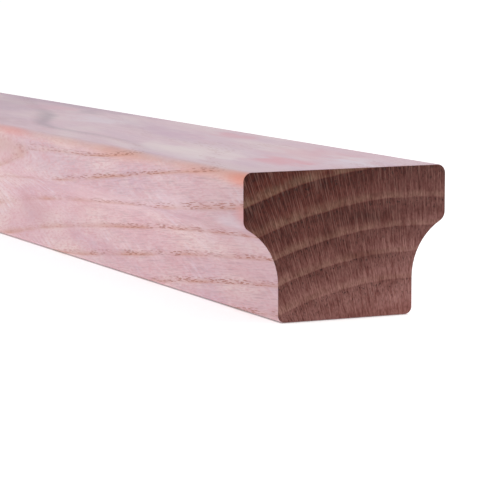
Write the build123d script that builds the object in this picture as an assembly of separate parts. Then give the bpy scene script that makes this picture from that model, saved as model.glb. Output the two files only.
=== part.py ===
from build123d import *
import os

# One stock length of moulded hardwood handrail. Sizes are in millimetres.
# Frame: X runs along the rail, Y across it and Z up.
# The origin is the middle of the underside, where the brackets or balusters meet it.

# Overall sizes
rail_length = 1200.0
rail_width = 60.0
rail_height = 40.0

# Grip: the wide upper part that the palm lies on. Its side is measured from the top face
# down to where the finger cove would meet it before the edge between them is rounded.
grip_side_height = 14.5

# Base: the narrower foot, with straight sides below the coves
base_width = 40.0
base_side_height = 10.0

# Edge roundings, from the moulding cutters
top_edge_radius = 2.5
grip_lower_edge_radius = 3.0
base_edge_radius = 2.0

# Places worked out from the sizes above
grip_half_width = rail_width / 2
base_half_width = base_width / 2
cove_top = rail_height - grip_side_height


def corners_at(section, across, up):
    """The section's corners at this height, one each side of the middle."""
    reach = 1e-3
    found = section.vertices().filter_by(
        lambda corner: abs(abs(corner.X) - across) < reach and abs(corner.Y - up) < reach
    )
    assert len(found) == 2, f"the section has {len(found)} corners at {across}, {up}"
    return found


def moulded_section():
    """The rail's cross-section: flat top, upright grip sides, a finger cove each side, flat foot."""
    with BuildSketch(Plane.YZ) as section:
        with BuildLine():
            top = Line((0, rail_height), (grip_half_width, rail_height))
            grip_side = Line(top @ 1, (grip_half_width, cove_top))
            # The cove rises straight up from the base's side and sweeps out under the grip.
            cove = TangentArc(
                (base_half_width, base_side_height), grip_side @ 1, tangent=(0, 1)
            )
            base_side = Line(cove @ 0, (base_half_width, 0))
            Line(base_side @ 1, (0, 0))
            mirror(about=Plane.YZ)
        make_face()
        fillet(corners_at(section, grip_half_width, rail_height), top_edge_radius)
        fillet(corners_at(section, grip_half_width, cove_top), grip_lower_edge_radius)
        fillet(corners_at(section, base_half_width, 0), base_edge_radius)
    return section.sketch


def handrail():
    """The section run along the rail's whole length, square-cut at both ends."""
    return extrude(moulded_section(), amount=rail_length / 2, both=True)


os.makedirs("parts", exist_ok=True)
export_step(handrail(), "parts/handrail.step")
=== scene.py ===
import math

import bpy
import numpy as np
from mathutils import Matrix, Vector


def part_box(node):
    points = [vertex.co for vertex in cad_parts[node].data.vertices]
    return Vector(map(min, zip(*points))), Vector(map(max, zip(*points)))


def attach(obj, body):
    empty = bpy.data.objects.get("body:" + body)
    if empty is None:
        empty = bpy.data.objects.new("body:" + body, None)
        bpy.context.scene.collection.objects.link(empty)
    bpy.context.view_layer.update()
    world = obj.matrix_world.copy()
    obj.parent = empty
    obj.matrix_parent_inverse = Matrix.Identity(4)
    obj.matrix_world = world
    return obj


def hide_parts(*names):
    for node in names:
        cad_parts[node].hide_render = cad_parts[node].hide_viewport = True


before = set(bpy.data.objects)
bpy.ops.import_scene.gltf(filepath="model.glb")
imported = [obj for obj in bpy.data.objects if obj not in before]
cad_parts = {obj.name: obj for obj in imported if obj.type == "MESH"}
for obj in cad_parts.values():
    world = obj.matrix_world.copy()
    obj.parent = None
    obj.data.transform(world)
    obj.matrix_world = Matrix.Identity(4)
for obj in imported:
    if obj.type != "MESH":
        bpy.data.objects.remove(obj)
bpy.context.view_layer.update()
railLow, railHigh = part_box("handrail")
mm = 0.001
shownEnd = railHigh.x / mm
length, width, height = (railHigh - railLow) / mm
print("frame loaded: the rail is", round(length, 1), "x", round(width, 1), "x", round(height, 1), "mm")

view = {
    "azimuth": 64.71,                      # degrees round from straight in front of the long side
    "elevation": 7.21,                     # degrees above level
    "lens": 172.5,                         # millimetres, on a sensor this wide
    "sensor": 36,
    "fromEnd": (556.5, -291.0, 97.7),      # camera's place in mm from the middle of the shown end's foot
}


def makeCamera(spec):
    # stands off the shown end and looks back along the rail and a little down, with no roll and no shift
    across, up = math.radians(spec["azimuth"]), math.radians(spec["elevation"])
    back = Vector((math.sin(across) * math.cos(up), -math.cos(across) * math.cos(up), math.sin(up)))
    lens = bpy.data.cameras.new("camera")
    lens.lens, lens.sensor_width = spec["lens"], spec["sensor"]
    camera = bpy.data.objects.new("camera", lens)
    camera.location = Vector((railHigh.x, 0, railLow.z)) + Vector(spec["fromEnd"]) * mm
    camera.rotation_mode = "QUATERNION"
    camera.rotation_quaternion = (-back).to_track_quat("-Z", "Y")
    bpy.context.collection.objects.link(camera)
    bpy.context.scene.camera = camera


makeCamera(view)
bpy.context.scene.view_settings.view_transform = "Standard"
print("camera placed")


def linear(code):
    # "#rrggbb" as sRGB, turned to the linear colour that shaders take: a straight line in the darkest part,
    # and a power of 2.4 above it
    parts = [int(code[i:i + 2], 16) / 255 for i in (1, 3, 5)]
    return (*[c / 12.92 if c <= 0.04045 else ((c + 0.055) / 1.055) ** 2.4 for c in parts], 1)


def add(tree, kind, inputs=(), **settings):
    # one node with its settings. Inputs go by name or in order, and a node given as an input stands for its
    # first output.
    node = tree.nodes.new(kind if kind.startswith("Node") else "ShaderNode" + kind)
    for name, value in settings.items():
        setattr(node, name, value)
    sockets = [socket for socket in node.inputs if socket.enabled]
    for key, value in inputs.items() if isinstance(inputs, dict) else enumerate(inputs):
        socket = sockets[key] if isinstance(key, int) else next(s for s in sockets if s.name == key)
        if isinstance(value, bpy.types.Node):
            value = next(output for output in value.outputs if output.enabled)
        if isinstance(value, bpy.types.NodeSocket):
            tree.links.new(value, socket)
        elif value is not None:
            socket.default_value = value
    return node


light = {                                  # places in metres
    "world": 0.6,                          # what the white surroundings give, 1 being full white
    "key": (6.2, 0.6, (-0.1, -1.3, 0.12), (0.4, 0, 0.02)),   # watts, size, where from and to
    "over": (1.3, 0.5, (0.62, 0.3, 0.55), (0.55, 0, 0)),
    "floor": "#f4f4f4",
    "floorGlow": 0.4,                      # the floor is a white table lit from below
    # painted shadow strip: out from the rail's middle line, the floor has no glow up to the first and all of
    # it from the second
    "foot": (0.0184, 0.0194),
    "floorSeen": 0.1,                      # it looks this much brighter again, to stay white far off
    "floorSize": 40.0,
    "floorDrop": 0.1 * mm,                 # how far it lies under the rail's foot
    "paintedShadowEndFade": mm,                         # the painted shadow strip ends over this much either side of the rail's end
}


def softbox(name, spec):
    # a square panel that faces where it is aimed
    watts, size, start, end = spec
    panel = bpy.data.lights.new(name, "AREA")
    panel.energy, panel.size = watts, size
    lamp = bpy.data.objects.new(name, panel)
    lamp.location = start
    lamp.rotation_mode = "QUATERNION"
    lamp.rotation_quaternion = (Vector(start) - Vector(end)).to_track_quat("Z", "Y")
    bpy.context.collection.objects.link(lamp)


def makeSurroundings(spec):
    # white all round: full white to the camera and in reflections, but less as light on the rail
    scene = bpy.context.scene
    scene.world = bpy.data.worlds.new("white surroundings")
    scene.world.use_nodes = True
    tree = scene.world.node_tree
    tree.nodes.clear()
    path = add(tree, "LightPath")
    seen = add(tree, "Math", [path.outputs["Is Camera Ray"], path.outputs["Is Glossy Ray"]],
               operation="MAXIMUM")
    seen = add(tree, "Math", [seen, path.outputs["Is Transmission Ray"]], operation="MAXIMUM")
    dim = add(tree, "Background", {"Color": (1, 1, 1, 1), "Strength": spec["world"]})
    white = add(tree, "Background", {"Color": (1, 1, 1, 1), "Strength": 1.0})
    both = add(tree, "MixShader", [seen, dim, white])
    add(tree, "OutputWorld", {"Surface": both})


def makeFloor(spec):
    # Opal acrylic sheet, cast: matt and even. Its glow is the same all over, apart from a painted shadow:
    # a strip under the rail's foot with no glow, so that the rail's shadow starts as a thin dark line.
    half = spec["floorSize"] / 2
    corners = [(-half, -half, 0), (half, -half, 0), (half, half, 0), (-half, half, 0)]
    mesh = bpy.data.meshes.new("floor")
    mesh.from_pydata(corners, [], [(0, 1, 2, 3)])
    floor = bpy.data.objects.new("floor", mesh)
    floor.location.z = railLow.z - spec["floorDrop"]
    bpy.context.collection.objects.link(floor)
    acrylic = bpy.data.materials.new("Opal acrylic sheet, lit from below")
    acrylic.use_nodes = True
    tree = acrylic.node_tree
    tree.nodes.clear()
    off = add(tree, "VectorMath", [add(tree, "TexCoord").outputs["Object"]], operation="ABSOLUTE")
    x, y = add(tree, "SeparateXYZ", [off]).outputs[:2]
    # painted shadow: no glow in a strip along the rail's foot, up to its end
    beside = add(tree, "MapRange", [y, *spec["foot"], 0.0, 1.0])
    pastPaintedShadowEnd = add(tree, "MapRange", [x, railHigh.x - spec["paintedShadowEndFade"], railHigh.x + spec["paintedShadowEndFade"], 0.0, 1.0])
    clear = add(tree, "Math", [beside, pastPaintedShadowEnd], operation="MAXIMUM")
    lift = add(tree, "Math", [clear, spec["floorGlow"]], operation="MULTIPLY")
    lift = add(tree, "Math", [add(tree, "LightPath").outputs["Is Camera Ray"], spec["floorSeen"], lift],
               operation="MULTIPLY_ADD")
    matt = add(tree, "BsdfDiffuse", {"Color": linear(spec["floor"])})
    glow = add(tree, "Emission", {"Color": (1, 1, 1, 1), "Strength": lift})
    both = add(tree, "AddShader", [matt, glow])
    add(tree, "OutputMaterial", {"Surface": both})
    mesh.materials.append(acrylic)


makeSurroundings(light)
softbox("key", light["key"])
softbox("over", light["over"])
makeFloor(light)
print("room made")


timber = {                                 # in millimetres; along the rail they count from the shown end
    # how far the pith lies right of the rail's middle, and how far under its foot, at places along it
    "pithAcross": [(0, 19.2), (50, 27), (100, 35), (170, 45.8), (250, 58.3), (420, 66), (640, 52),
                   (860, 34), (1040, 24), (1200, 22)],
    "pithBelow": [(0, 89.6), (50, 91.1), (100, 92.9), (170, 94.4), (250, 95.8), (300, 99), (360, 102),
                  (420, 105), (640, 112), (860, 121), (1040, 127), (1200, 134)],
    # places where the rings dip towards the pith, or swell away from it where the last number is below
    # zero: middle, half axes, how far
    "swells": [((62, 27.9, 40), (73.5, 65.2, 16), 6.7), ((201, -32.9, 40), (141.4, 51.7, 16), -6.0),
               ((118, -26, 41), (74, 24, 8), 2.3)],
    "innerRing": 88.5,                     # radius of the first ring that can show
    "ringWidths": [11.0, 7.1, 6.9, 7.6, 8.6, 9.2, 5.7, 6.4, 6.6, 6.1, 6.8, 5.6, 6.3, 5.9, 6.6],
    "waver": (60, 16, 0.22),               # slow unevenness of the rings: length, width, height of it
    "ripple": (11, 3.0, 0.13),             # and a quicker one
    "noiseReach": (0.2, 0.8),              # a noise node's lowest and highest values, near enough
    "rayCentre": (9, 30),                  # the rays meet this much further right of and under the pith
    "trueRing": 3,                         # the ring on which sizes round the rays' centre are true
}


def follow(tree, value, points, handle="AUTO"):
    # the curve through these (in, out) points, scaled to the 0 to 1 that a curve node works in, and back
    ins, outs = np.array(points, float).T
    share = add(tree, "MapRange", [value, ins[0], ins[-1], 0.0, 1.0])
    node = add(tree, "FloatCurve", {"Value": share})
    line = node.mapping.curves[0]
    knots = np.stack([(ins - ins[0]) / (ins[-1] - ins[0]), outs / outs.max()], 1).tolist()
    line.points[0].location, line.points[-1].location = knots[0], knots[-1]
    for knot in knots[1:-1]:
        line.points.new(*knot)
    for point in line.points:
        point.handle_type = handle
    node.mapping.update()
    return add(tree, "Math", [node, outs.max()], operation="MULTIPLY")


def spot(tree, place, middle, axes):
    # 1 at the middle of an ellipsoid, falling smoothly to 0 at its surface. The middle's first number counts
    # from the shown end.
    off = add(tree, "VectorMath", [place, (shownEnd - middle[0], *middle[1:])], operation="SUBTRACT")
    off = add(tree, "VectorMath", [off, axes], operation="DIVIDE")
    off = add(tree, "VectorMath", [off], operation="LENGTH")
    return add(tree, "MapRange", [off, 0.0, 1.0, 1.0, 0.0], interpolation_type="SMOOTHERSTEP")


def growthGroup(spec):
    # Out is the distance from a bowed pith line, with swells and noise added. Year is how much of its year's
    # growth a place has behind it, from 0 to 1, as the ring widths give it at that distance. Grain is a place
    # in millimetres along, round the rays' centre and out from the pith, for all that follows the fibres.
    tree = bpy.data.node_groups.new("growth", "ShaderNodeTree")
    tree.interface.new_socket("Object", in_out="INPUT", socket_type="NodeSocketVector")
    for name in ("FromEnd", "Out", "Year"):
        tree.interface.new_socket(name, in_out="OUTPUT", socket_type="NodeSocketFloat")
    for name in ("Place", "Grain"):
        tree.interface.new_socket(name, in_out="OUTPUT", socket_type="NodeSocketVector")
    taken = add(tree, "NodeGroupInput")
    place = add(tree, "VectorMath", {"Vector": taken, "Scale": 1 / mm}, operation="SCALE")
    x, y, z = add(tree, "SeparateXYZ", [place]).outputs
    fromEnd = add(tree, "Math", [shownEnd, x], operation="SUBTRACT")

    across = add(tree, "Math", [y, follow(tree, fromEnd, spec["pithAcross"])], operation="SUBTRACT")
    up = add(tree, "Math", [z, follow(tree, fromEnd, spec["pithBelow"])], operation="ADD")
    out = add(tree, "Math", [across, across], operation="MULTIPLY")
    out = add(tree, "Math", [up, up, out], operation="MULTIPLY_ADD")
    out = add(tree, "Math", [out], operation="SQRT")
    for middle, axes, far in spec["swells"]:
        out = add(tree, "Math", [spot(tree, place, middle, axes), far, out], operation="MULTIPLY_ADD")
    for long, wide, high in (spec["waver"], spec["ripple"]):
        stretched = add(tree, "VectorMath", [place, (long, wide, wide)], operation="DIVIDE")
        noise = add(tree, "TexNoise", {"Vector": stretched, "Scale": 1.0, "Detail": 1.0})
        shift = add(tree, "MapRange", [noise, *spec["noiseReach"], -high, high])
        out = add(tree, "Math", [out, shift], operation="ADD")

    edges = spec["innerRing"] + np.concatenate([[0], np.cumsum(spec["ringWidths"])])
    years = follow(tree, out, [(edge, i) for i, edge in enumerate(edges)], "VECTOR")
    year = add(tree, "Math", [years], operation="FRACT")

    right, below = spec["rayCentre"]
    across = add(tree, "Math", [across, right], operation="SUBTRACT")
    up = add(tree, "Math", [up, below], operation="ADD")
    angle = add(tree, "Math", [across, up], operation="ARCTAN2")
    around = add(tree, "Math", [angle, edges[spec["trueRing"]] + below], operation="MULTIPLY")
    grain = add(tree, "CombineXYZ", [x, around, out])
    given = {"FromEnd": fromEnd, "Out": out, "Year": year, "Place": place, "Grain": grain}
    add(tree, "NodeGroupOutput", given)
    return tree


growth = growthGroup(timber)
print("timber grown:", len(timber["ringWidths"]), "rings")


def newMaterial(name):
    # an empty material, with the growth group reading the piece's own Object coordinates
    print("material:", name)
    material = bpy.data.materials.new(name)
    material.use_nodes = True
    tree = material.node_tree
    tree.nodes.clear()
    grown = add(tree, "Group", node_tree=growth)
    tree.links.new(add(tree, "TexCoord").outputs["Object"], grown.inputs["Object"])
    return material, tree, grown.outputs


def patches(tree, where, size, low, high, strength=1.0, detail=1.0):
    # uneven patches of about this size in mm: noise, at 0 up to low and at full strength from high
    stretched = add(tree, "VectorMath", [where, size], operation="DIVIDE")
    noise = add(tree, "TexNoise", {"Vector": stretched, "Scale": 1.0, "Detail": detail})
    return add(tree, "MapRange", [noise, low, high, 0.0, strength])


def paint(tree, colour, layers):
    # lays one colour after another on top, each as thickly as the product of its masks
    for blend, code, *masks in layers:
        amount = masks[0]
        for mask in masks[1:]:
            amount = add(tree, "Math", [amount, mask], operation="MULTIPLY")
        colour = add(tree, "Mix", [amount, colour, linear(code)], data_type="RGBA", blend_type=blend)
    return colour


planed = {                                 # sizes in millimetres
    "pink": "#d3afb6",
    "cream": "#dcc2c1",
    "lilac": "#c5a2b2",
    "rose": "#cb989f",
    "fibre": "#a07a84",
    "ray": "#e0cbce",
    "early": "#be8979",
    "pore": "#985139",
    # painted sheen: a grey-lilac tone for upward faces, standing in for the reflection seen at a low angle
    "top": "#bda8bd",
    "streak": "#7d6a7c",
    # pale feathers of lifted fibres, and the painted sheen in the cove
    "paleFeatherAndPaintedSheen": "#dcd6e2",
    "arris": "#e3b8a8",
    # patches: size along, round and out, the noise at which they begin and are full, strength, detail
    "creamClouds": ((45, 9, 9), 0.42, 0.66),
    "lilacClouds": ((70, 7, 12), 0.48, 0.7, 0.6),
    "roseClouds": ((26, 4, 5), 0.55, 0.75, 0.45),
    "creamFlecks": ((9, 1.4, 1.4), 0.5, 0.75, 0.5, 3.0),
    "sideFibres": ((9, 4, 0.35), 0.46, 0.76, 0.6, 2.0),
    "roseFlecks": ((2.4, 2, 0.4), 0.48, 0.7, 0.7),
    "rayFlecks": ((7, 0.5, 2), 0.55, 0.8, 0.35),
    "bandPatches": ((30, 6, 60), 0.3, 0.6, 0.85),
    "poreCrowds": ((16, 3, 60), 0.3, 0.52),
    # the same, with sizes along, across and up
    "topFibres": ((18, 0.6, 5), 0.5, 0.76, 0.4, 2.0),
    "paleFeathers": ((7, 6, 1.1), 0.5, 0.75, 0.4),
    "darkFeathers": ((7, 6, 1.1), 0.5, 0.25, 0.2),
    "featherPatches": ((40, 20, 12), 0.45, 0.65),
    "arrisPatches": ((30, 40, 40), 0.3, 0.6, 0.45),
    "paintedSheenPatches": ((8, 40, 30), 0.42, 0.65, 0.15),
    "knifePatches": ((35, 14, 14), 0.4, 0.7, 0.3),
    # shares of a year's growth
    "bandTill": 0.2,                       # the soft band of a year's first wood fades until here
    "bandFrom": 0.92,                      # and already begins here in the year before
    "bandBefore": 0.6,                     # where it is at most this strong
    "poresTill": (0.16, 0.25),             # the row of pores thins out between these
    "streakFrom": 0.84,                    # a streak on top begins here in the year before
    "streakTill": 0.22,                    # and has faded here
    "poreSize": (6.0, 0.6, 0.33),          # along the fibres, round the year ring and outwards
    "poreOpen": (0.3, 0.5),                # a pore fills its cell out to the first, and ends at the second
    "poreDepth": (0.85, 0.25),             # how dark the pores are on the side and on top
    # how open and dark the pores are, at places along the rail
    "openness": [(0, 1.0), (80, 0.9), (120, 0.65), (160, 0.35), (200, 0.2), (250, 0.3), (420, 0.8),
                 (700, 0.6), (1000, 0.9), (1200, 0.9)],
    # how dark the streaks on top are
    "streaks": [(0, 0.1), (65, 0.15), (120, 0.35), (160, 0.5), (215, 0.9), (250, 0.4), (320, 0.25),
                (500, 0.7), (800, 0.5), (1200, 0.7)],
    "streakDepth": 0.6,
    "streakOut": (140.0, 144.0, 0.15, 1.0),     # from this far out of the pith to that, how much they show
    "topFacing": (0.5, 0.95),              # how far a face turns upwards before it begins to be, and is, top
    "topPaintedSheen": 0.33,
    "arrisReach": (2.2, 0.6),              # the warm line's start and full strength, in from the left side
    "arrisDrop": (3.5, 1.5),               # and down from the top
    "paintedSheenSpot": ((18, -26, 20), (50, 12, 11)),     # painted sheen in the cove: middle and half axes
    "wander": (20, 5, 5),                  # size of the noise that moves the top spots' outlines
    "wanderBy": (60, 6, 3),                # and how far it moves them
    # coloured spots: colour, how strong, middle from the shown end, half axes. Most are in the timber, and
    # some on the side are painted light, marked where they stand. Those on the side keep their outlines, and
    # those on top have theirs moved.
    "sideSpotsAndPaintedLight": [
        ("#e8805c", 0.72, (0, -30, 38.4), (20, 3.6, 4.0)),
        ("#de9480", 0.4, (24, -30, 39), (34, 3.0, 4.0)),
        ("#d08a74", 0.45, (84, -30, 39), (34, 3.0, 4.4)),
        ("#df8f86", 0.6, (176, -30, 39.5), (28, 3.0, 3.6)),
        ("#bb8f84", 0.45, (188, -30, 34), (36, 6, 5)),
        ("#b98790", 0.4, (182, -22, 12), (30, 12, 9)),
        # painted light: lifts the shade on the cove's top and the grip's lower rounding
        ("#ead2d8", 0.45, (96, -28, 22), (80, 8, 6)),
        ("#df8b82", 0.75, (0, -29, 29), (9, 3, 4.5)),
        # painted sheen: a bluish-white highlight on the grip's lower rounding by the shown end
        ("#d9d6e2", 0.45, (9, -29, 26), (15, 4, 3.4)),
        # painted light: lifts the shade on the grip's lower rounding
        ("#ead2d8", 0.4, (46, -30, 28), (26, 5, 4)),
        # darker over the side towards the shown end
        ("#a9838a", 0.4, (0, -28, 18), (75, 22, 40)),
    ],
    "topSpots": [
        ("#cf8f9b", 0.8, (27, -6, 40), (22, 11, 3)),
        ("#cb939f", 0.5, (43, 12, 40), (28, 16, 3)),
        ("#cb8f9c", 0.6, (110, 20, 40), (24, 7, 3)),
        ("#bb93ab", 0.6, (124, 5, 40), (24, 10, 3)),
        ("#d49dac", 0.5, (260, 16, 40), (28, 12, 3)),
        ("#9c8496", 0.5, (226, 19, 40), (22, 10, 3)),
        ("#b38aa4", 0.4, (150, 8, 40), (26, 9, 3)),
        ("#dccfd2", 0.5, (47, -20, 40), (16, 9, 3)),
        ("#9c8093", 0.45, (310, -5, 40), (110, 60, 3)),
        ("#d8cdd6", 0.45, (195, 6, 40), (36, 14, 3)),
        ("#e0d2d0", 0.55, (70, -12, 40), (44, 20, 3)),
        ("#ae8896", 0.6, (226, -24, 40), (60, 15, 3)),
        ("#a0829a", 0.6, (262, 27, 40), (110, 10, 3)),
        ("#d4cbd8", 0.5, (12, 10, 40), (14, 14, 3)),
    ],
    "calm": ((222, 26, 40), (90, 30, 5)),  # a patch on top that the streaks leave out: middle, half axes
    "featherSlant": -22,                   # degrees the place is turned; so feathers fall to the shown end
    "knifeEvery": 3.0,                     # from one knife mark to the next
    "reliefDepth": 0.1,
    "reliefStrength": 0.5,
    "roughness": 0.5,
    "ior": 1.5,
}


def planedOak(spec):
    # Red oak straight off the moulder's knives: satin pink wood, soft-edged cream and lilac patches along the
    # fibres, and a broken row of open pores where each year's growth starts. The pores are really 0.3 mm wide
    # at most, and are drawn a little wider so that they show. A fibre is really about 0.02 mm wide, so what
    # is drawn is strands of them.
    material, tree, grown = newMaterial("Red oak, moulder-planed")
    fromEnd, out, year, place, grain = (grown[name] for name in ("FromEnd", "Out", "Year", "Place", "Grain"))
    normal = add(tree, "SeparateXYZ", [add(tree, "TexCoord").outputs["Normal"]])
    up = add(tree, "MapRange", [normal.outputs["Z"], *spec["topFacing"], 0.0, 1.0])
    side = add(tree, "Math", [1.0, up], operation="SUBTRACT")
    y, z = add(tree, "SeparateXYZ", [place]).outputs[1:]
    openness = follow(tree, fromEnd, spec["openness"])

    # each year's first wood is a soft band
    early = add(tree, "MapRange", [year, 0.0, spec["bandTill"], 1.0, 0.0], interpolation_type="SMOOTHSTEP")
    late = add(tree, "MapRange", [year, spec["bandFrom"], 1.0, 0.0, spec["bandBefore"]],
               interpolation_type="SMOOTHSTEP")
    band = add(tree, "Math", [early, late], operation="MAXIMUM")
    # rows of pores, cut lengthwise: long cells in which the middle is open
    cells = add(tree, "VectorMath", [grain, spec["poreSize"]], operation="DIVIDE")
    cells = add(tree, "TexVoronoi", {"Vector": cells, "Scale": 1.0})
    dash = add(tree, "MapRange", [cells, *spec["poreOpen"], 1.0, 0.0], interpolation_type="SMOOTHSTEP")
    row = add(tree, "MapRange", [year, *spec["poresTill"], 1.0, 0.0])
    row = add(tree, "Math", [row, patches(tree, grain, *spec["poreCrowds"])], operation="MULTIPLY")
    pores = add(tree, "Math", [dash, row], operation="MULTIPLY")
    # the top spots' outlines wander with the fibres
    wander = add(tree, "VectorMath", [grain, spec["wander"]], operation="DIVIDE")
    wander = add(tree, "TexNoise", {"Vector": wander, "Scale": 1.0, "Detail": 2.0}).outputs["Color"]
    wander = add(tree, "VectorMath", [wander, (0.5, 0.5, 0.5)], operation="SUBTRACT")
    loose = add(tree, "VectorMath", [wander, spec["wanderBy"], place], operation="MULTIPLY_ADD")
    # lifted fibres: faint pale and dark feathers that slant across the side
    slanted = add(tree, "Mapping", {"Vector": place, "Rotation": (0, math.radians(spec["featherSlant"]), 0)})
    feathered = patches(tree, place, *spec["featherPatches"])
    feathered = add(tree, "Math", [side, feathered], operation="MULTIPLY")
    # warm line along the upper left arris
    start, full = spec["arrisReach"]
    left = add(tree, "MapRange", [y, -width / 2 + start, -width / 2 + full, 0.0, 1.0])
    start, full = spec["arrisDrop"]
    high = add(tree, "MapRange", [z, height - start, height - full, 0.0, 1.0])

    colour = paint(tree, linear(spec["pink"]), [
        ("MIX", spec["cream"], patches(tree, grain, *spec["creamClouds"])),
        ("MIX", spec["lilac"], patches(tree, grain, *spec["lilacClouds"])),
        ("MIX", spec["rose"], patches(tree, grain, *spec["roseClouds"])),
        ("MIX", spec["cream"], patches(tree, grain, *spec["creamFlecks"])),
        ("MIX", spec["fibre"], patches(tree, grain, *spec["sideFibres"]), openness, side),
        ("MIX", spec["rose"], patches(tree, grain, *spec["roseFlecks"]), side),
        ("MIX", spec["fibre"], patches(tree, place, *spec["topFibres"]), up),
        ("MIX", spec["ray"], patches(tree, grain, *spec["rayFlecks"])),
        ("MIX", spec["paleFeatherAndPaintedSheen"], patches(tree, slanted, *spec["paleFeathers"]), feathered),
        ("MIX", spec["fibre"], patches(tree, slanted, *spec["darkFeathers"]), feathered),
        # painted sheen: upward faces tinted grey-lilac
        ("MIX", spec["top"], up, spec["topPaintedSheen"]),
        ("MIX", spec["early"], band, side, patches(tree, grain, *spec["bandPatches"])),
    ])
    # streaks on top start more softly than the bands, and fade away inside the calm patch
    before = add(tree, "MapRange", [year, spec["streakFrom"], 1.0, 0.0, 1.0], interpolation_type="SMOOTHSTEP")
    after = add(tree, "MapRange", [year, 0.0, spec["streakTill"], 1.0, 0.0], interpolation_type="SMOOTHSTEP")
    streak = add(tree, "Math", [before, after], operation="MAXIMUM")
    outer = add(tree, "MapRange", [out, *spec["streakOut"]])
    streaks = follow(tree, fromEnd, spec["streaks"])
    calm = add(tree, "Math", [1.0, spot(tree, place, *spec["calm"])], operation="SUBTRACT")
    colour = paint(tree, colour, [
        ("MIX", spec["streak"], streak, up, outer, calm, streaks, spec["streakDepth"]),
        ("MIX", spec["arris"], left, high, patches(tree, place, *spec["arrisPatches"])),
        *[("MIX", code, spot(tree, loose, *where), strong) for code, strong, *where in spec["topSpots"]],
        # the side's spots, among them painted light under the grip
        *[("MIX", code, spot(tree, place, *where), strong) for code, strong, *where in spec["sideSpotsAndPaintedLight"]],
        # painted sheen: a pale patchy highlight in the cove near the shown end
        ("MIX", spec["paleFeatherAndPaintedSheen"], spot(tree, place, *spec["paintedSheenSpot"]),
         patches(tree, place, *spec["paintedSheenPatches"])),
        ("MIX", spec["pore"], pores, openness, add(tree, "MapRange", [up, 0.0, 1.0, *spec["poreDepth"]])),
    ])
    # knife marks and pores as relief
    wave = add(tree, "Math", [fromEnd, math.tau / spec["knifeEvery"]], operation="MULTIPLY")
    wave = add(tree, "Math", [wave], operation="SINE")
    wave = add(tree, "Math", [wave, patches(tree, place, *spec["knifePatches"])], operation="MULTIPLY")
    relief = add(tree, "Math", [wave, pores], operation="SUBTRACT")
    bump = add(tree, "Bump", {"Height": relief, "Strength": spec["reliefStrength"],
                              "Distance": spec["reliefDepth"] * mm})
    shader = add(tree, "BsdfPrincipled", {"Base Color": colour, "Roughness": spec["roughness"],
                                          "IOR": spec["ior"], "Normal": bump})
    add(tree, "OutputMaterial", {"Surface": shader})
    return material


sawn = {                                   # sizes in millimetres
    "deep": "#5a241a",                     # painted shade, towards the upper left corner
    "light": "#bb8882",                    # painted light, towards the lower right one
    "paintedLightRight": "#242122",                     # added towards the right: painted light, greyer and lighter there
    "early": "#4a4537",                    # added in each year's first wood
    "late": "#cbb6b0",                     # multiplied into its last
    "blotch": "#d6bcb8",                   # multiplied, in patches
    "fuzz": "#d3c7c3",                     # multiplied, the torn fibre ends
    "ray": "#503f39",                      # added, along the rays
    "tick": "#7a6460",                     # multiplied, short dark marks beside the rays
    "speck": "#66504b",                    # multiplied, the odd clogged pore
    # darker spots: colour multiplied, how strong, middle from the shown end, half axes
    "spots": [
        ("#c9aea6", 0.9, (0, 7, 26.5), (30, 21, 3.6)),
        ("#c9aea6", 0.9, (0, 5, 16.8), (30, 13, 2.4)),
        ("#c9aea6", 0.5, (0, -6, 23), (30, 8, 2.6)),
    ],
    # patches: size along, round and out, the noise at which they begin and are full, strength
    "wideBlotches": ((60, 7, 3.5), 0.48, 0.68, 0.6),
    "thinBlotches": ((60, 0.8, 3.5), 0.5, 0.7),
    "bandPatches": ((60, 4, 3), 0.2, 0.55),
    "fuzzStrands": ((60, 0.36, 1.0), 0.4, 0.68),
    "ticks": ((60, 0.24, 1.3), 0.58, 0.7),
    "specks": ((60, 0.7, 0.9), 0.63, 0.7),
    "rays": ((60, 0.33, 7), 0.47, 0.66),
    "rayPatches": ((60, 3, 5), 0.1, 0.5),
    "sawMarks": ((1, 0.8, 20), 0.3, 0.7),  # along, across and up
    "slope": (0.0, 0.0075, -0.0225),       # how fast a slanting tone, the painted light and shade, grows per millimetre along, right and up
    # ramps: where they start and end, and what they give there
    "toneBySlope": (-1.2, 0.3, 0.0, 1.0),
    "tonePower": 2.2,                      # bends that one, so that the painted dark corner is large
    "bandBySlope": (-0.9, 0.0, 1.0, 0.5),
    "bandAcross": (-10.0, width / 2, 1.0, 0.7),
    "bandRise": (0.0, 0.05, 0.0, 1.0),     # in shares of a year
    "bandFallFrom": 0.08,
    "bandFallTill": (-8.0, 15.0, 0.42, 0.28),   # the share of a year at which the band is gone, across
    "lateInYear": (0.3, 1.0, 0.0, 1.0),
    "lateByHeight": (0.0, 12.0, 0.3, 1.0),
    "paintedLightAcross": (-5.0, 20.0, 0.0, 1.0),
    "footByHeight": (5.0, 1.0, 0.0, 0.8),  # the foot's right part is a little darker
    "footAcross": (-10.0, 4.0, 0.0, 1.0),
    "reliefDepth": 0.05,
    "reliefStrength": 0.3,
    "roughness": 0.8,
    "gloss": 0.25,                         # the torn surface mirrors half as much as a smooth one
    "ior": 1.5,
}


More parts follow.
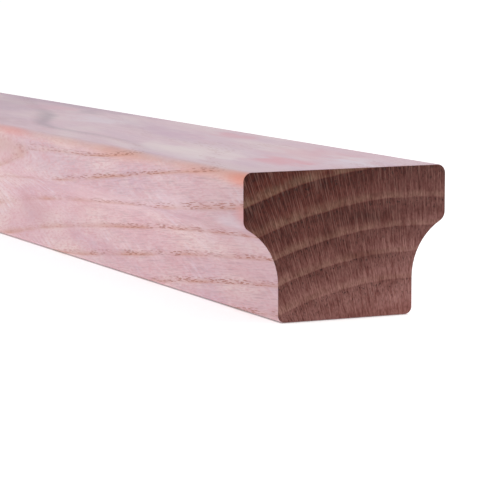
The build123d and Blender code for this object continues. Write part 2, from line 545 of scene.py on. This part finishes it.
def sawnOak(spec):
    # Red oak across the grain, as the saw leaves it: matt and dark, because the open fibre ends swallow
    # light, with a pale band where each year starts and the rays as fine pale lines across the bands. The
    # fine rays are really about 0.1 mm wide and are drawn at three times that, so that they show.
    material, tree, grown = newMaterial("Red oak, cross-cut end grain")
    year, grain, place = (grown[name] for name in ("Year", "Grain", "Place"))
    # painted light and shade: the end is darkest at its upper left corner and lightest at its lower right
    slope = add(tree, "VectorMath", [place, spec["slope"]], operation="DOT_PRODUCT").outputs["Value"]
    paintedLightAndShade = add(tree, "MapRange", [slope, *spec["toneBySlope"]])
    paintedLightAndShade = add(tree, "Math", [paintedLightAndShade, spec["tonePower"]], operation="POWER")
    # each year's pale band rises at once and falls slowly, and is fainter towards the lower right corner
    rise = add(tree, "MapRange", [year, *spec["bandRise"]], interpolation_type="SMOOTHSTEP")
    y, z = add(tree, "SeparateXYZ", [place]).outputs[1:]
    till = add(tree, "MapRange", [y, *spec["bandFallTill"]])
    fall = add(tree, "MapRange", [year, spec["bandFallFrom"], till, 1.0, 0.0],
               interpolation_type="SMOOTHSTEP")
    fainter = add(tree, "Math", [add(tree, "MapRange", [slope, *spec["bandBySlope"]]),
                                 add(tree, "MapRange", [y, *spec["bandAcross"]])], operation="MULTIPLY")
    late = add(tree, "MapRange", [year, *spec["lateInYear"]])
    lateLow = add(tree, "MapRange", [z, *spec["lateByHeight"]])
    foot = add(tree, "MapRange", [z, *spec["footByHeight"]])
    colour = paint(tree, linear(spec["deep"]), [
        ("MIX", spec["light"], paintedLightAndShade),
        # painted light: a grey lift towards the right
        ("ADD", spec["paintedLightRight"], add(tree, "MapRange", [y, *spec["paintedLightAcross"]])),
        ("MULTIPLY", spec["late"], late, fainter, lateLow),
        ("MULTIPLY", spec["blotch"], foot, add(tree, "MapRange", [y, *spec["footAcross"]])),
        ("MULTIPLY", spec["blotch"], patches(tree, grain, *spec["wideBlotches"])),
        ("MULTIPLY", spec["blotch"], patches(tree, grain, *spec["thinBlotches"])),
        ("ADD", spec["early"], rise, fall, fainter, patches(tree, grain, *spec["bandPatches"])),
        *[("MULTIPLY", code, spot(tree, place, *where), strong) for code, strong, *where in spec["spots"]],
        ("MULTIPLY", spec["fuzz"], patches(tree, grain, *spec["fuzzStrands"])),
        ("MULTIPLY", spec["tick"], patches(tree, grain, *spec["ticks"]), late),
        ("MULTIPLY", spec["speck"], patches(tree, grain, *spec["specks"]), late),
        ("ADD", spec["ray"], patches(tree, grain, *spec["rays"]), patches(tree, grain, *spec["rayPatches"])),
    ])
    bump = add(tree, "Bump", {"Height": patches(tree, place, *spec["sawMarks"]),
                              "Strength": spec["reliefStrength"], "Distance": spec["reliefDepth"] * mm})
    shader = add(tree, "BsdfPrincipled", {"Base Color": colour, "Roughness": spec["roughness"],
                                          "IOR": spec["ior"], "Specular IOR Level": spec["gloss"],
                                          "Normal": bump})
    add(tree, "OutputMaterial", {"Surface": shader})
    return material


rail = {                                   # sizes in millimetres; the outside ones come from the frame
    "gripSide": 14.5,                      # top down to where the cove would meet the grip's side
    "baseWidth": 40.0,
    "baseSide": 10.0,                      # foot up to where the cove begins
    "topRound": 2.5,
    "gripRound": 3.0,
    "footRound": 2.0,
    "endRound": 0.35,                      # the sawn ends' edges, eased
    "flatStep": 2.5,                       # longest step on the section's flats
    "arcStep": 6.0,                        # degrees a step turns on its roundings
    "alongStep": 5.0,
    "easeSteps": 4,                        # round each sawn end's edge
    "easePlaned": 2,                       # of those, how many look planed like the long faces
    "capSteps": 14,                        # from that edge to the end's middle
    "capMiddle": 0.58,                     # of the height: where an end's rings of faces close in
    "mapShare": 0.7,                       # of the map's height that the long faces take
    "mapGap": 0.004,                       # kept free round each part of the map
}


def sectionLine(spec):
    # half the section, as straight runs and tangent arcs from the foot's middle up to the top's, and then its
    # mirror image. The cove leaves the base upright and runs to the grip's side, so its radius is
    # (across squared + up squared) / (2 x across). The grip's rounding touches the cove from outside, so the
    # middles of the two are both radii apart.
    half, base, side = width / 2, spec["baseWidth"] / 2, spec["baseSide"]
    coveTop = height - spec["gripSide"]
    coveRadius = ((half - base) ** 2 + (coveTop - side) ** 2) / (2 * (half - base))
    coveMiddle = np.array([base + coveRadius, side])
    topRound, gripRound, footRound = spec["topRound"], spec["gripRound"], spec["footRound"]
    gripX = half - gripRound
    gripZ = side + math.sqrt((coveRadius + gripRound) ** 2 - (coveMiddle[0] - gripX) ** 2)
    meet = math.degrees(math.atan2(gripZ - side, gripX - coveMiddle[0]))

    def flat(start, end):
        steps = max(1, math.ceil(math.dist(start, end) / spec["flatStep"]))
        return np.linspace(start, end, steps, endpoint=False)

    def arc(middle, radius, start, end):
        steps = math.ceil(abs(end - start) / spec["arcStep"])
        angle = np.radians(np.linspace(start, end, steps, endpoint=False))
        return np.asarray(middle) + radius * np.stack([np.cos(angle), np.sin(angle)], 1)

    points = np.concatenate([
        flat((0, 0), (base - footRound, 0)),
        arc((base - footRound, footRound), footRound, -90, 0),
        flat((base, footRound), (base, side)),
        arc(coveMiddle, coveRadius, 180, meet),
        arc((gripX, gripZ), gripRound, meet - 180, 0),
        flat((half, gripZ), (half, height - topRound)),
        arc((half - topRound, height - topRound), topRound, 0, 90),
        flat((half - topRound, height), (0, height)),
        [(0, height)],
    ])
    return np.concatenate([points, points[-2:0:-1] * (-1, 1)])


def mapFaces(mesh, places, isEnd, section, spec):
    # the bake's map. The long faces take its upper part: across it goes x over the length, and up it the
    # share of the girth gone round. The ends lie side by side under them: across goes y over the width, and
    # up goes z over the height.
    gap, share = spec["mapGap"], spec["mapShare"]
    count = len(section)
    girth = np.concatenate([[0], np.cumsum(np.hypot(*(np.roll(section, -1, 0) - section).T))])
    girth = girth / girth[-1]
    corners = np.empty(len(mesh.loops), np.int32)
    mesh.loops.foreach_get("vertex_index", corners)
    starts = np.empty(len(mesh.polygons), np.int32)
    mesh.polygons.foreach_get("loop_start", starts)
    faceOf = np.repeat(np.arange(len(starts)), np.diff(np.append(starts, len(corners))))
    step = corners % count
    last = (faceOf % count == count - 1) & (step == 0)     # the strip's closing edge
    long = places[corners, 0] / np.ptp(places[:, 0]) + 0.5
    strip = np.stack([long, (1 - share) + girth[np.where(last, count, step)] * share], 1)
    across = places[corners, 1] / np.ptp(places[:, 1]) + 0.5
    far = places[corners, 0] < 0
    end = np.stack([(np.where(far, 1 - across, across) + np.where(far, 0, 1)) / 2,
                    places[corners, 2] / places[:, 2].max() * (1 - share)], 1)
    cut = isEnd[faceOf]
    where = np.where(cut[:, None], end, strip)
    # every part of it keeps clear of its neighbours
    low = np.stack([np.where(cut, np.where(far, 0, 0.5), 0), np.where(cut, 0, 1 - share)], 1)
    span = np.stack([np.where(cut, 0.5, 1), np.where(cut, 1 - share, share)], 1)
    where = low + gap + (where - low) / span * (span - 2 * gap)
    layer = mesh.uv_layers.new(name="OFBake")
    layer.uv.foreach_set("vector", where.astype(np.float32).ravel())


def makeRail(spec):
    # the section carried along X. A point's place across and up is
    # middle + shrink x (its place in the section - ease x the outward normal there - middle),
    # where ease follows a quarter circle round each sawn end's edge, and shrink then goes from 1 to 0.
    section = sectionLine(spec)
    count = len(section)
    ahead, behind = np.roll(section, -1, 0), np.roll(section, 1, 0)
    run = ahead - behind
    outward = np.stack([run[:, 1], -run[:, 0]], 1) / np.hypot(*run.T)[:, None]
    ease = spec["endRound"]
    turn = np.radians(np.linspace(0, 90, spec["easeSteps"] + 1))[1:]
    steps = math.ceil((length - 2 * ease) / spec["alongStep"])
    straight = np.linspace(-length / 2 + ease, length / 2 - ease, steps + 1)
    # each station has a place along, how far it is eased in, and how far it is shrunk to the middle
    rim = np.stack([length / 2 - ease + ease * np.sin(turn), ease * (1 - np.cos(turn)), 0 * turn + 1], 1)
    shrink = np.linspace(1, 0, spec["capSteps"] + 1)[1:-1]
    cap = np.stack([0 * shrink + length / 2, 0 * shrink + ease, shrink], 1)
    far = np.concatenate([rim, cap])
    near = far[::-1] * (-1, 1, 1)
    body = np.stack([straight, 0 * straight, 0 * straight + 1], 1)
    stations = np.concatenate([near, body, far])
    middle = np.array([0, height * spec["capMiddle"]])
    eased = section - stations[:, 1, None, None] * outward
    acrossUp = middle + stations[:, 2, None, None] * (eased - middle)
    along = np.repeat(stations[:, 0, None], count, 1)
    grid = np.concatenate([along[..., None], acrossUp], 2).reshape(-1, 3)
    poles = np.array([[-length / 2, *middle], [length / 2, *middle]])
    places = np.concatenate([grid, poles]) * mm
    rows = len(stations)
    first = np.arange(count)
    after = (first + 1) % count
    row = np.arange(rows - 1)[:, None] * count
    quads = np.stack([row + first, row + after, row + count + after, row + count + first], -1).reshape(-1, 4)
    last = (rows - 1) * count
    fans = [np.stack([np.full(count, rows * count), after, first], 1),
            np.stack([np.full(count, rows * count + 1), last + first, last + after], 1)]
    mesh = bpy.data.meshes.new("handrail")
    mesh.from_pydata(places, [], [*quads.tolist(), *fans[0].tolist(), *fans[1].tolist()])
    mesh.shade_smooth()
    mesh.materials.append(planedOak(planed))
    mesh.materials.append(sawnOak(sawn))
    rowOfQuad = np.repeat(np.arange(rows - 1), count)
    bare = len(far) - spec["easePlaned"]                   # rows of faces at either end that look sawn
    isEnd = (rowOfQuad < bare) | (rowOfQuad >= rows - 1 - bare)
    isEnd = np.concatenate([isEnd, np.ones(2 * count, bool)])
    mesh.polygons.foreach_set("material_index", isEnd.astype(np.int32))
    mapFaces(mesh, places / mm, isEnd, section, spec)
    piece = bpy.data.objects.new("oakHandrail", mesh)
    bpy.context.collection.objects.link(piece)
    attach(piece, "root")
    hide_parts("handrail")
    return piece


piece = makeRail(rail)
print("rail made:", len(piece.data.polygons), "faces")
